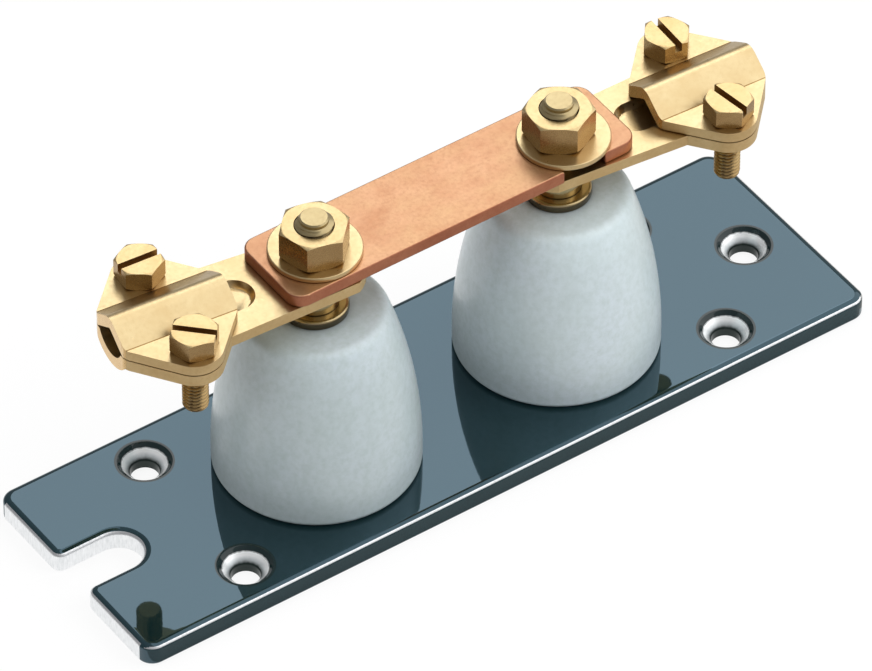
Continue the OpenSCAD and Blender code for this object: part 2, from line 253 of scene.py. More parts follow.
def new_material(name):
    """A material with its node tree and its Principled shader."""
    material = bpy.data.materials.new(name)
    material.use_nodes = True
    tree = material.node_tree
    return material, tree, tree.nodes["Principled BSDF"]


def add(tree, kind, **values):
    """A node with its properties set; a name that is not a property is an input's name."""
    node = tree.nodes.new(kind)
    for key, value in values.items():
        if hasattr(node, key):
            setattr(node, key, value)
        else:
            node.inputs[key.replace("_", " ")].default_value = value
    return node


def object_point(tree, stretch=(1, 1, 1)):
    """Output with the point in the part's own frame, in millimetres, stretched along each axis."""
    coordinates = add(tree, "ShaderNodeTexCoord")
    mapping = add(tree, "ShaderNodeMapping", vector_type="POINT")
    mapping.inputs["Scale"].default_value = [value / MM for value in stretch]
    tree.links.new(coordinates.outputs["Object"], mapping.inputs["Vector"])
    return mapping.outputs["Vector"]


def noise(tree, scale, detail=4, roughness=0.5, stretch=(1, 1, 1)):
    """Noise whose scale is in features per millimetre."""
    node = add(tree, "ShaderNodeTexNoise", Scale=scale, Detail=detail, Roughness=roughness)
    tree.links.new(object_point(tree, stretch), node.inputs["Vector"])
    return node.outputs["Fac"]


def ramp(tree, factor, stops):
    """Colour ramp through (position, colour) stops."""
    node = add(tree, "ShaderNodeValToRGB")
    elements = node.color_ramp.elements
    while len(elements) < len(stops):
        elements.new(0.5)
    for element, (position, colour) in zip(elements, stops):
        element.position = position
        element.color = (*colour, 1)
    tree.links.new(factor, node.inputs["Fac"])
    return node.outputs["Color"]


def spread(tree, factor, low, high, start=0.3, end=0.7):
    """Value that runs from low to high as the factor runs from start to end."""
    node = add(tree, "ShaderNodeMapRange")
    tree.links.new(factor, node.inputs["Value"])
    for socket, value in (("From Min", start), ("From Max", end), ("To Min", low), ("To Max", high)):
        node.inputs[socket].default_value = value
    return node.outputs["Result"]


def mix(tree, factor, one, other):
    """Colour between one and other; either is an output or a plain colour."""
    node = add(tree, "ShaderNodeMix", data_type="RGBA")
    tree.links.new(factor, node.inputs[MIX_FACTOR])
    for socket, value in ((node.inputs[MIX_ONE], one), (node.inputs[MIX_OTHER], other)):
        if isinstance(value, bpy.types.NodeSocket):
            tree.links.new(value, socket)
        else:
            socket.default_value = (*value, 1)
    return node.outputs[MIX_RESULT]


def times(tree, one, other):
    """Product of two colour outputs."""
    node = add(tree, "ShaderNodeMix", data_type="RGBA", blend_type="MULTIPLY")
    node.inputs[MIX_FACTOR].default_value = 1
    tree.links.new(one, node.inputs[MIX_ONE])
    tree.links.new(other, node.inputs[MIX_OTHER])
    return node.outputs[MIX_RESULT]


def height_of(tree):
    """Output with the height above the plate's underside, in millimetres."""
    split = add(tree, "ShaderNodeSeparateXYZ")
    tree.links.new(object_point(tree), split.inputs["Vector"])
    return split.outputs["Z"]


def bump(tree, shader, *layers):
    """Stacks bump layers of (height output, depth in millimetres, strength) on a shader."""
    last = None
    for height, depth, strength in layers:
        node = add(tree, "ShaderNodeBump", Strength=strength, Distance=depth * MM)
        tree.links.new(height, node.inputs["Height"])
        if last:
            tree.links.new(last, node.inputs["Normal"])
        last = node.outputs["Normal"]
    tree.links.new(last, shader.inputs["Normal"])


def crevice(tree, reach):
    """Factor that is 1 in the open and falls towards 0 in corners within reach millimetres."""
    node = add(tree, "ShaderNodeAmbientOcclusion", samples=6, Distance=reach * MM)
    return node.outputs["AO"]


# Materials

def metal(name, pale, deep, corner_shade, rough, grain, coat=0.0, reach=1.2, shut=(0.1, 0.5), flush=None):
    """Worked metal: tone drifts from pale to deep, painted shade darkens its corners, grain runs along an
    axis.

    The painted corner shade is at its full where the share of open space within reach millimetres is below
    the first value of shut, and gone above the second. A flush is one more tone, in broad clouds.
    """
    material, tree, shader = new_material(name)
    shader.inputs["Metallic"].default_value = 1
    shader.inputs["Coat Weight"].default_value = coat
    shader.inputs["Coat Roughness"].default_value = 0.25
    drift = noise(tree, 0.16, detail=6, roughness=0.6)
    speckle = noise(tree, 1.3, detail=5, roughness=0.65)
    lines = noise(tree, 6.0, detail=2, stretch=grain)
    tone = ramp(tree, drift, [(0.32, pale), (0.72, deep)])
    if flush:
        clouds = noise(tree, 0.09, detail=5, roughness=0.6, stretch=(0.6, 1, 1))
        tone = mix(tree, spread(tree, clouds, 0, 0.8, start=0.45, end=0.65), tone, flush)
    spotted = mix(tree, spread(tree, speckle, 0, 0.5, start=0.50, end=0.75), tone, deep)
    # Painted shade: the metal darkens towards corners and under things, by ambient occlusion.
    corner = spread(tree, crevice(tree, reach), 0.85, 0, *shut)
    tree.links.new(mix(tree, corner, spotted, corner_shade), shader.inputs["Base Color"])
    tree.links.new(spread(tree, speckle, *rough), shader.inputs["Roughness"])
    bump(tree, shader, (lines, 0.012, 0.35), (speckle, 0.03, 0.25))
    return material


def porcelain(name, lit_tint):
    """Off-white glazed porcelain with faint runs down its side, painted shade in corners near its head, a
    painted highlight over the shoulder, and a lit tint that stands in for the light on each insulator.
    """
    material, tree, shader = new_material(name)
    clouds = noise(tree, 0.06, detail=4)
    mottle = noise(tree, 0.7, detail=5, roughness=0.65)
    runs = noise(tree, 0.35, detail=3, stretch=(1, 1, 0.2))
    height = height_of(tree)
    body = ramp(tree, clouds, [(0.3, (0.52, 0.61, 0.61)), (0.7, (0.56, 0.64, 0.67))])
    patches = spread(tree, mottle, 0, 0.8, start=0.40, end=0.68)
    mottled = mix(tree, patches, body, (0.46, 0.545, 0.54))
    streaks = spread(tree, runs, 0, 0.35, start=0.5, end=0.75)
    streaked = mix(tree, streaks, mottled, (0.45, 0.53, 0.52))
    # Tone by height: lighter at the foot, darker just above it, and lighter again towards the head, where
    # the lighter shoulder is a painted highlight.
    shares = ((0.0, 1.0), (0.03, 1.0), (0.06, 0.92), (0.12, 0.88), (0.25, 0.91), (0.80, 0.93), (0.93, 1.0))
    stops = [(position, [share * value for value in lit_tint]) for position, share in shares]
    foot, head = (corner.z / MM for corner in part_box("left_insulator"))
    bands = ramp(tree, spread(tree, height, 0, 1, foot, head), stops)
    # Painted shade: darker in corners near the head, under the collar and the bar.
    corner = add(tree, "ShaderNodeMath", operation="MULTIPLY")
    tree.links.new(spread(tree, crevice(tree, 3), 0.7, 0, start=0.3, end=0.9), corner.inputs[0])
    tree.links.new(spread(tree, height, 0, 1, *SHOULDER_SHADE_MM), corner.inputs[1])
    shaded = mix(tree, corner.outputs[0], times(tree, streaked, bands), (0.22, 0.25, 0.25))
    tree.links.new(shaded, shader.inputs["Base Color"])
    tree.links.new(spread(tree, mottle, 0.30, 0.42), shader.inputs["Roughness"])
    shader.inputs["Coat Weight"].default_value = 0.35
    shader.inputs["Coat Roughness"].default_value = 0.18
    shader.inputs["Subsurface Weight"].default_value = 0.08
    shader.inputs["Subsurface Radius"].default_value = (0.9, 1.0, 1.0)
    shader.inputs["Subsurface Scale"].default_value = 1.2 * MM
    bump(tree, shader, (runs, 0.15, 0.25), (mottle, 0.06, 0.3))
    return material


def enamel():
    """Glossy black enamel with a blue-green cast."""
    material, tree, shader = new_material("black_enamel")
    clouds = noise(tree, 0.03, detail=3)
    peel = noise(tree, 0.5, detail=2)
    tone = ramp(tree, clouds, [(0.3, (0.003, 0.013, 0.014)), (0.7, (0.005, 0.017, 0.018))])
    tree.links.new(tone, shader.inputs["Base Color"])
    tree.links.new(spread(tree, clouds, 0.015, 0.03), shader.inputs["Roughness"])
    shader.inputs["IOR"].default_value = 1.85
    shader.inputs["Specular Tint"].default_value = (0.52, 0.80, 1.0, 1)
    bump(tree, shader, (peel, 0.004, 0.3))
    return material


def bare_steel():
    """Bright cut steel at the plate's edges and holes."""
    material, tree, shader = new_material("bare_steel")
    shader.inputs["Metallic"].default_value = 1
    marks = noise(tree, 2.5, detail=4, stretch=(1, 1, 0.2))
    tone = ramp(tree, marks, [(0.3, (0.93, 0.94, 0.95)), (0.75, (0.78, 0.80, 0.81))])
    tree.links.new(tone, shader.inputs["Base Color"])
    tree.links.new(spread(tree, marks, 0.28, 0.45), shader.inputs["Roughness"])
    bump(tree, shader, (marks, 0.02, 0.3))
    return material


def hole_finish():
    """Countersinks by height in the plate: painted shade in the bore, bright steel on the cone, enamel at
    the rim.
    """
    material, tree, shader = new_material("hole_finish")
    marks = noise(tree, 1.2, detail=3)
    edge = add(tree, "ShaderNodeMath", operation="MULTIPLY_ADD")
    tree.links.new(marks, edge.inputs[0])
    edge.inputs[1].default_value = 0.3
    tree.links.new(height_of(tree), edge.inputs[2])
    height = edge.outputs[0]
    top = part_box("base_plate")[1].z / MM
    # The near-black in the bore is painted shade.
    tone = ramp(tree, spread(tree, height, 0, 1, 0, top), [
        (0.0, (0.015, 0.024, 0.022)), (0.50, (0.02, 0.032, 0.029)), (0.60, (0.50, 0.54, 0.55)),
        (0.74, (0.93, 0.95, 0.95)), (0.83, (0.93, 0.95, 0.95)), (0.88, (0.004, 0.015, 0.016))])
    tree.links.new(tone, shader.inputs["Base Color"])
    tree.links.new(spread(tree, height, 0.5, 0, *HOLE_CONE_TOP_MM), shader.inputs["Metallic"])
    tree.links.new(spread(tree, height, 0.30, 0.06, *HOLE_CONE_TOP_MM), shader.inputs["Roughness"])
    bump(tree, shader, (marks, 0.02, 0.2))
    return material


def zinc():
    """Dull zinc on the hidden inserts and foot screws."""
    material, tree, shader = new_material("zinc")
    shader.inputs["Metallic"].default_value = 1
    spangle = noise(tree, 0.8, detail=5)
    tone = ramp(tree, spangle, [(0.3, (0.56, 0.57, 0.58)), (0.7, (0.44, 0.45, 0.47))])
    tree.links.new(tone, shader.inputs["Base Color"])
    tree.links.new(spread(tree, spangle, 0.35, 0.5), shader.inputs["Roughness"])
    bump(tree, shader, (spangle, 0.02, 0.2))
    return material


def floor_white():
    """Pale floor: its own white to the eye and in reflections, with a lit share that keeps the shadow."""
    material, tree, shader = new_material("floor_white")
    shader.inputs["Roughness"].default_value = 0.9
    shader.inputs["Specular IOR Level"].default_value = 0.1
    faint = noise(tree, 0.004, detail=2)
    tone = ramp(tree, faint, [(0.3, (0.90, 0.90, 0.90)), (0.7, (0.92, 0.92, 0.92))])
    tree.links.new(tone, shader.inputs["Base Color"])
    path = add(tree, "ShaderNodeLightPath")
    seen = path.outputs["Is Camera Ray"]
    for kind in ("Is Glossy Ray", "Is Transmission Ray"):
        either = add(tree, "ShaderNodeMath", operation="MAXIMUM")
        tree.links.new(seen, either.inputs[0])
        tree.links.new(path.outputs[kind], either.inputs[1])
        seen = either.outputs[0]
    glow = add(tree, "ShaderNodeEmission", Color=(1, 1, 1, 1), Strength=1)
    blend = add(tree, "ShaderNodeMixShader")
    tree.links.new(spread(tree, seen, 0, FLOOR_OWN_WHITE, start=0, end=1), blend.inputs[0])
    tree.links.new(shader.outputs["BSDF"], blend.inputs[1])
    tree.links.new(glow.outputs["Emission"], blend.inputs[2])
    tree.links.new(blend.outputs["Shader"], tree.nodes["Material Output"].inputs["Surface"])
    return material


def shade_card_grey():
    """Grey of the shade card, which polished faces show in place of the floor's shade."""
    material, tree, shader = new_material("shade_card_grey")
    shader.inputs["Roughness"].default_value = 0.95
    shader.inputs["Specular IOR Level"].default_value = 0.0
    felt = noise(tree, 0.05, detail=3)
    tone = ramp(tree, felt, [(0.3, (0.46, 0.44, 0.41)), (0.7, (0.50, 0.48, 0.45))])
    tree.links.new(tone, shader.inputs["Base Color"])
    return material


# Colour of the painted shade in the corners of brass parts.
BRASS_CORNER_SHADE = (0.20, 0.10, 0.03)
ALONG_X = (0.08, 1, 1)
ALONG_Z = (1, 1, 0.08)
terminal_brass = metal(
    "terminal_brass", pale=(0.73, 0.575, 0.31), deep=(0.65, 0.475, 0.23), corner_shade=BRASS_CORNER_SHADE,
    rough=(0.27, 0.36), grain=ALONG_X, coat=0.5, reach=2.0)
# Dark brass of the painted shade in folds, along the caps' lower rims and in the screw slots.
shade_brass = metal(
    "shade_brass", pale=(0.44, 0.28, 0.11), deep=(0.34, 0.20, 0.07), corner_shade=BRASS_CORNER_SHADE,
    rough=(0.40, 0.50), grain=ALONG_X)
sheared_brass = metal(
    "sheared_brass", pale=(0.80, 0.62, 0.34), deep=(0.70, 0.51, 0.25), corner_shade=BRASS_CORNER_SHADE,
    rough=(0.60, 0.70), grain=ALONG_X, coat=0.2, reach=1.0, shut=(0.3, 0.85))
# Orange brass on the clamps' ends, a painted reflection of the copper link.
end_reflection_brass = metal(
    "end_reflection_brass", pale=(0.80, 0.56, 0.26), deep=(0.72, 0.45, 0.17), corner_shade=BRASS_CORNER_SHADE,
    rough=(0.22, 0.32), grain=ALONG_X, coat=0.3, reach=1.0)
# Darker brass on the clamp screws' shanks, painted shade under the bars.
thread_shade_brass = metal(
    "thread_shade_brass", pale=(0.50, 0.35, 0.15), deep=(0.38, 0.245, 0.095), corner_shade=(0.06, 0.03, 0.01),
    rough=(0.16, 0.24), grain=ALONG_Z, coat=0.3, reach=0.8, shut=(0.45, 0.95))
collar_bronze = metal(
    "collar_bronze", pale=(0.58, 0.46, 0.25), deep=(0.46, 0.35, 0.18), corner_shade=(0.06, 0.04, 0.015),
    rough=(0.14, 0.22), grain=ALONG_Z, coat=0.4, reach=2.0, shut=(0.2, 0.7))
# Near-black bronze on the collars' upright sides, painted shade under the bars.
collar_shade = metal(
    "collar_shade", pale=(0.13, 0.10, 0.055), deep=(0.09, 0.07, 0.04), corner_shade=(0.03, 0.022, 0.015),
    rough=(0.16, 0.22), grain=ALONG_Z, coat=0.3)
# Darker brass on the upright sides of nuts and screw heads, painted shade.
hexagon_shade_brass = metal(
    "hexagon_shade_brass", pale=(0.46, 0.31, 0.145), deep=(0.38, 0.24, 0.105), corner_shade=BRASS_CORNER_SHADE,
    rough=(0.22, 0.32), grain=ALONG_Z, coat=0.1)
stud_brass = metal(
    "stud_brass", pale=(0.53, 0.43, 0.225), deep=(0.45, 0.34, 0.165), corner_shade=(0.12, 0.08, 0.03),
    rough=(0.28, 0.36), grain=ALONG_Z, coat=0.3, reach=1.8, shut=(0.35, 0.85))
nut_brass = metal(
    "nut_brass", pale=(0.68, 0.53, 0.27), deep=(0.60, 0.43, 0.19), corner_shade=BRASS_CORNER_SHADE,
    rough=(0.27, 0.36), grain=ALONG_Z, coat=0.5)
screw_brass = metal(
    "screw_brass", pale=(0.70, 0.53, 0.26), deep=(0.62, 0.43, 0.18), corner_shade=BRASS_CORNER_SHADE,
    rough=(0.27, 0.35), grain=ALONG_Z, coat=0.5)
link_copper = metal(
    "link_copper", pale=(0.68, 0.38, 0.21), deep=(0.56, 0.27, 0.135), corner_shade=(0.22, 0.06, 0.03),
    rough=(0.36, 0.44), grain=ALONG_X, coat=0.3, reach=2.0, flush=(0.67, 0.40, 0.205))
# Darker copper on the link's upright sides, painted shade.
copper_side_shade = metal(
    "copper_side_shade", pale=(0.56, 0.24, 0.14), deep=(0.44, 0.16, 0.09), corner_shade=(0.12, 0.03, 0.02),
    rough=(0.40, 0.50), grain=ALONG_X, reach=2.5, shut=(0.3, 0.85))
# Each insulator's lit tint: the right one painted lighter and the left darker, standing in for more light on
# the right.
insulator_whites = {
    "left": porcelain("porcelain_left", lit_tint=(0.94, 0.94, 0.95)),
    "right": porcelain("porcelain_right", lit_tint=(1.07, 1.06, 1.08))}
plate_black = enamel()
plate_steel = bare_steel()
plate_holes = hole_finish()
foot_zinc = zinc()


# Mesh helpers

def add_piece(name, mesh, node, *materials):
    """Puts a mesh in the scene for a CAD node: it rides on the node's body and stands for the node."""
    piece = place(name, mesh)
    for material in materials:
        mesh.materials.append(material)
    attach(piece, frame["nodes"][node]["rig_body"])
    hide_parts(node)
    return piece


def repaint(node, material):
    """Gives a CAD node, whose shape stays, a material."""
    slots = frame["nodes"][node].data.materials
    slots.clear()
    slots.append(material)


def mesh_from(name, form):
    """Mesh of a bmesh form, which is freed."""
    mesh = bpy.data.meshes.new(name)
    form.to_mesh(mesh)
    form.free()
    return mesh


def sharp_mesh(name, form):
    """Mesh of a bmesh form, with edges sharper than a thread's left sharp."""
    form.normal_update()
    mesh = mesh_from(name, form)
    mesh.set_sharp_from_angle(angle=math.radians(SHARP_ANGLE))
    return mesh


def join_flat(form):
    """Joins neighbouring faces that lie in one plane."""
    bmesh.ops.dissolve_limit(
        form, angle_limit=math.radians(FLAT_ANGLE), verts=form.verts, edges=form.edges)


def cleaned_copy(node):
    """Bmesh form of a CAD node with its seams welded, tiny edges merged and flat faces joined."""
    form = bmesh.new()
    form.from_mesh(frame["nodes"][node].data)
    bmesh.ops.remove_doubles(form, verts=form.verts, dist=SEAM_NEAR)
    bmesh.ops.dissolve_degenerate(form, dist=SLIVER_NEAR, edges=form.edges)
    join_flat(form)
    for face in form.faces:
        face.smooth = True
        face.material_index = FACE_INDEX
    return form


def even_shading(piece):
    """Shades flat faces flat, right up to the rounded edges."""
    shade = piece.modifiers.new("shading", "WEIGHTED_NORMAL")
    shade.keep_sharp = True


def soften(piece, width, segments):
    """Rounds a piece's real edges and welds the points that the rounding brings together."""
    edge = piece.modifiers.new("edges", "BEVEL")
    edge.width = width
    edge.segments = segments
    edge.limit_method = "ANGLE"
    edge.angle_limit = math.radians(EDGE_ANGLE)
    edge.use_clamp_overlap = True
    weld = piece.modifiers.new("weld", "WELD")
    weld.merge_threshold = WELD_NEAR
    even_shading(piece)


def upright(face):
    """Whether a face stands upright."""
    return abs(face.normal.z) < UPRIGHT_TILT


def side_or_face(face):
    """Index of a face's finish: one for upright sides, where pieces put a darker copy of their metal as
    painted shade, and one for the rest.
    """
    return SIDE_INDEX if upright(face) else FACE_INDEX


def dress(node, materials, width, segments=2, index_of=side_or_face, shape=None):
    """Copy of a CAD node with rounded edges and its own finishes, chosen face by face."""
    form = cleaned_copy(node)
    if len(materials) > 1:
        for face in form.faces:
            face.material_index = index_of(face)
    if shape:
        shape(form)
    piece = add_piece(node + "_finish", mesh_from(node + "_finish", form), node, *materials)
    soften(piece, width, segments)


def move_in_plan(vertex, spot):
    """Moves a vertex to a place in plan, at the height that it has."""
    vertex.co.x = spot.x
    vertex.co.y = spot.y


def arc(centre, radius, start, end, count):
    """Points along an arc about a centre, from one angle to another, in degrees."""
    points = []
    for i in range(count + 1):
        angle = math.radians(start + (end - start) * i / count)
        points.append((centre[0] + radius * math.cos(angle), centre[1] + radius * math.sin(angle)))
    return points


def circle(centre, radius, z):
    """Ring of points about an upright axis, at a height."""
    last = 360 - 360 / CIRCLE_POINTS
    return [(x, y, z) for x, y in arc(centre, radius, 0, last, CIRCLE_POINTS - 1)]


def loft(form, rings, index_of):
    """Joins rings of equal length in turn and returns the first and the last.

    index_of gives a face's material from its middle and normal.
    """
    made = [[form.verts.new(point) for point in ring] for ring in rings]
    for low, high in zip(made, made[1:]):
        for i in range(len(low)):
            j = (i + 1) % len(low)
            face = form.faces.new((low[i], low[j], high[j], high[i]))
            face.normal_update()
            face.material_index = index_of(face.calc_center_median(), face.normal)
    return made[0], made[-1]


# Threads

def thread_cut(turn):
    """Depth of a thread, from 0 on its crest to 1 in its root, at a share of a turn."""
    from_crest = abs((turn % 1.0) - 0.5) * 2
    return min(1.0, max(0.0, (from_crest - THREAD_CREST) / THREAD_FLANK))


def thread_form(form, axis, radius_at, pitch, heights):
    """Adds a threaded rod about a vertical axis: radius_at(z) is its envelope, closed at both ends."""
    rings = []
    depth = THREAD_DEPTH * pitch
    core = max(radius_at(z) for z in heights) - depth
    for z in heights:
        ring = []
        for i in range(THREAD_SIDES):
            angle = 2 * math.pi * i / THREAD_SIDES
            crest = core + depth * (1 - thread_cut(z / pitch - i / THREAD_SIDES))
            r = min(crest, radius_at(z))
            ring.append(form.verts.new((axis.x + r * math.cos(angle), axis.y + r * math.sin(angle), z)))
        rings.append(ring)
    for low, high in zip(rings, rings[1:]):
        for i in range(THREAD_SIDES):
            j = (i + 1) % THREAD_SIDES
            form.faces.new((low[i], low[j], high[j], high[i])).smooth = True
    form.faces.new(rings[-1])
    form.faces.new(list(reversed(rings[0])))


def levels(low, high, pitch, marks):
    """Heights from low to high, some steps to a turn, with the marks in place of the steps next to them."""
    count = round((high - low) / pitch * THREAD_STEPS)
    steps = [low + (high - low) * i / count for i in range(count + 1)]
    near = THREAD_MARK_NEAR * pitch / THREAD_STEPS
    kept = [z for z in steps if all(abs(z - mark) > near for mark in marks)]
    return sorted(kept + list(marks))


# Plate

def plate_outline(half_x, half_y, inset):
    """Plan of the plate with its end slot, drawn in by an inset; each inset gives as many points."""
    x = half_x - PLATE_CORNER
    y = half_y - PLATE_CORNER
    r = PLATE_CORNER - inset
    lip = SLOT_LIP - inset
    lip_x = SLOT_LIP - half_x
    lip_y = SLOT_R + SLOT_LIP
    slot_x = mounts["end_slot"]["pos_m"][0]
    return [
        *arc((x, -y), r, -90, 0, CORNER_STEPS),
        *arc((x, y), r, 0, 90, CORNER_STEPS),
        *arc((-x, y), r, 90, 180, CORNER_STEPS),
        *arc((lip_x, lip_y), lip, 180, 270, SLOT_LIP_STEPS),
        *arc((slot_x, 0), SLOT_R + inset, 90, -90, SLOT_STEPS),
        *arc((lip_x, -lip_y), lip, 90, 180, SLOT_LIP_STEPS),
        *arc((-x, -y), r, 180, 270, CORNER_STEPS)]


def edge_profile(top):
    """Rounded edge of the plate, as (inset, height), from the underside to the top face."""
    foot = []
    for i in range(FOOT_ROUND_STEPS + 1):
        turn = math.radians(90 * i / FOOT_ROUND_STEPS)
        foot.append((FOOT_ROUND * (1 - math.sin(turn)), FOOT_ROUND * (1 - math.cos(turn))))
    head = []
    for i in range(TOP_ROUND_STEPS + 1):
        turn = math.radians(90 * i / TOP_ROUND_STEPS)
        head.append((TOP_ROUND_IN * (1 - math.cos(turn)), top - TOP_ROUND_DOWN * (1 - math.sin(turn))))
    return [(FOOT_ROUND + FLAT_MARGIN, 0), *foot, *head, (TOP_ROUND_IN + FLAT_MARGIN, top)]


def hole_profile(top):
    """Dished hole with a rounded lip, as (radius, height), from the underside to the top face."""
    lip = arc((HOLE_LIP_AT, top - HOLE_LIP_R), HOLE_LIP_R, 135, 90, HOLE_LIP_STEPS)
    return [*HOLE_DISH, *lip, (HOLE_FLAT_R, top)]


def fixing_spots():
    """Places of the plate's fixing holes: four in a rectangle and one at the end."""
    pattern = mounts["corner_holes"]["dims"]
    half_x = pattern["spacing_x_mm"] * MM / 2
    half_y = pattern["spacing_y_mm"] * MM / 2
    corners = [(along * half_x, across * half_y) for along in (-1, 1) for across in (-1, 1)]
    return [*corners, tuple(mounts["end_hole"]["pos_m"][:2])]


def base_plate():
    """Enamelled plate with rounded edges, bare steel on its ends, a bright steel line on its front edge as a
    painted highlight, and dished holes.
    """
    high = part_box("base_plate")[1]

    def edge_finish(middle, normal):
        if abs(middle.y) < high.y - BARE_END_IN:
            return STEEL_INDEX if normal.z < BARE_END_TILT else ENAMEL_INDEX
        # A bright steel line on the front edge only, a painted highlight.
        highlight_line = normal.y < HIGHLIGHT_FACING and HIGHLIGHT_TILTS[0] < normal.z < HIGHLIGHT_TILTS[1]
        return STEEL_INDEX if highlight_line else ENAMEL_INDEX

    form = bmesh.new()
    rings = []
    for inset, z in edge_profile(high.z):
        rings.append([(x, y, z) for x, y in plate_outline(high.x, high.y, inset)])
    ends = [loft(form, rings, edge_finish)]
    for spot in fixing_spots():
        rings = [circle(spot, r, z) for r, z in hole_profile(high.z)]
        ends.append(loft(form, rings, lambda middle, normal: HOLE_INDEX))
    for side in SIDES:
        screw_low, screw_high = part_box(side + "_foot_screw")
        spot = ((screw_low + screw_high) / 2).to_2d()
        profile = ((FOOT_HOLE_RIM_R, 0), (FOOT_HOLE_R, FOOT_HOLE_CONE_H), (FOOT_HOLE_R, high.z))
        rings = [circle(spot, r, z) for r, z in profile]
        ends.append(loft(form, rings, lambda middle, normal: STEEL_INDEX))
    for level in (0, 1):
        border = []
        for pair in ends:
            ring = pair[level]
            border += [form.edges.get((ring[i - 1], ring[i])) for i in range(len(ring))]
        bmesh.ops.triangle_fill(form, edges=border, use_beauty=True, use_dissolve=False)
    bmesh.ops.recalc_face_normals(form, faces=form.faces)
    for face in form.faces:
        face.smooth = True
    mesh = sharp_mesh("base_plate_finish", form)
    even_shading(add_piece("base_plate_finish", mesh, "base_plate", plate_black, plate_steel, plate_holes))


# Studs, nuts and clamp screws

def stud(side):
    """Threaded stud with a plain point at its upper end."""
    node = side + "_stud"
    low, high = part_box(node)
    axis = (low + high) / 2
    radius = (high.x - low.x) / 2
    z_point = high.z - STUD_POINT_H
    lead = (radius - STUD_POINT_R) / 2

    def envelope(z):
        if z > high.z - STUD_POINT_EDGE:
            return STUD_POINT_R - (z - high.z + STUD_POINT_EDGE)
        if z > z_point:
            return STUD_POINT_R
        return min(radius, STUD_POINT_R + (z_point - z) / lead * (radius - STUD_POINT_R))

    form = bmesh.new()
    marks = [low.z, z_point - lead, z_point, high.z - STUD_POINT_EDGE, high.z]
    thread_form(form, axis, envelope, STUD_PITCH, levels(low.z, high.z, STUD_PITCH, marks))
    add_piece(node + "_finish", sharp_mesh(node + "_finish", form), node, stud_brass)


def nut(side):
    """Hexagon nut whose upper mouth is drawn in towards the thread."""
    node = side + "_link_nut"
    low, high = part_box(node)
    axis = ((low + high) / 2).to_2d()

    def fill_mouth(form):
        for vertex in form.verts:
            out = vertex.co.to_2d() - axis
            if abs(vertex.co.z - high.z) < TOP_NEAR and out.length < NUT_MOUTH_REACH:
                move_in_plan(vertex, axis + out.normalized() * NUT_MOUTH_R)

    # Upright sides take the darker hexagon brass, painted shade.
    dress(node, (nut_brass, hexagon_shade_brass), NUT_EDGE, segments=3, shape=fill_mouth)


def screw_head(name, axis, top, seat):
    """Slotted hexagon head of a clamp screw, closed at its seat."""
    form = cleaned_copy(name)
    below = [vertex for vertex in form.verts if vertex.co.z < seat - SLIVER_NEAR]
    bmesh.ops.delete(form, geom=below, context="VERTS")
    bmesh.ops.edgeloop_fill(form, edges=[edge for edge in form.edges if edge.is_boundary])
    bmesh.ops.recalc_face_normals(form, faces=form.faces)
    # Upright outer faces take the darker hexagon brass and the slot the dark shade brass, both painted
    # shade.
    for face in form.faces:
        middle = face.calc_center_median()
        outside = (middle - axis).to_2d().length > HEAD_SLOT_REACH
        sunk = face.normal.z > ALONG_TILT and middle.z < top - HEAD_SLOT_SUNK
        face.material_index = FACE_INDEX
        if upright(face) and outside:
            face.material_index = SIDE_INDEX
        elif upright(face) or sunk:
            face.material_index = HEAD_SLOT_SHADE_INDEX
    mesh = mesh_from(name + "_finish", form)
    piece = add_piece(name + "_finish", mesh, name, screw_brass, hexagon_shade_brass, shade_brass)
    soften(piece, HEAD_EDGE, segments=2)


def clamp_screw(side, row):
    """Slotted hexagon head over a threaded shank."""
    name = side + row
    low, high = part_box(name)
    axis = (low + high) / 2
    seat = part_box(side + "_clamp_cap")[0].z + CAP_T
    screw_head(name, axis, high.z, seat)

    def envelope(z):
        return min(SCREW_R, SCREW_R - SCREW_CHAMFER + (z - low.z))

    shank = bmesh.new()
    shank_top = seat + SHANK_IN_HEAD
    marks = [low.z, low.z + SCREW_CHAMFER, shank_top]
    thread_form(shank, axis, envelope, SCREW_PITCH, levels(low.z, shank_top, SCREW_PITCH, marks))
    # The shank takes the darker thread brass, painted shade.
    add_piece(name + "_thread", sharp_mesh(name + "_thread", shank), name, thread_shade_brass)


# Conductor clamps

def crease(form):
    """Narrow strip of painted shade, with a material of its own, along the folds that open upwards."""
    form.normal_update()
    folds = []
    for edge in form.edges:
        if len(edge.link_faces) == 2 and all(face.normal.z > FOLD_TILT for face in edge.link_faces):
            if edge.calc_face_angle_signed() < -math.radians(FOLD_ANGLE):
                folds.append(edge)
    bmesh.ops.bevel(
        form, geom=folds, offset=FOLD_SHADE_WIDTH, offset_type="OFFSET", segments=1, profile=0.5,
        affect="EDGES", material=SHADE_INDEX)


def parting(form, z):
    """Rounds the lower outline of a sheet that lies at height z and gives it the folds' painted shade."""
    form.normal_update()
    rim = []
    for edge in form.edges:
        level = all(abs(vertex.co.z - z) < LEVEL_NEAR for vertex in edge.verts)
        if level and len(edge.link_faces) == 2:
            slopes = sorted(face.normal.z for face in edge.link_faces)
            if slopes[0] < -ALONG_TILT and abs(slopes[1]) < RIM_TILT:
                rim.append(edge)
    bmesh.ops.bevel(
        form, geom=rim, offset=PARTING_SHADE_WIDTH, offset_type="OFFSET", segments=4, profile=0.5,
        affect="EDGES", material=SHADE_INDEX)


def level_trough(form, axis, way, seat):
    """Raises the trough's floor at its inner end to a level one."""
    for vertex in form.verts:
        deep = seat - vertex.co.z > TROUGH_FLOOR
        inner = (vertex.co.to_2d() - axis) @ way < TROUGH_FLOOR_REACH
        if deep and inner and any(face.normal.z > TROUGH_TILT for face in vertex.link_faces):
            vertex.co.z = seat - TROUGH_FLOOR
    form.normal_update()


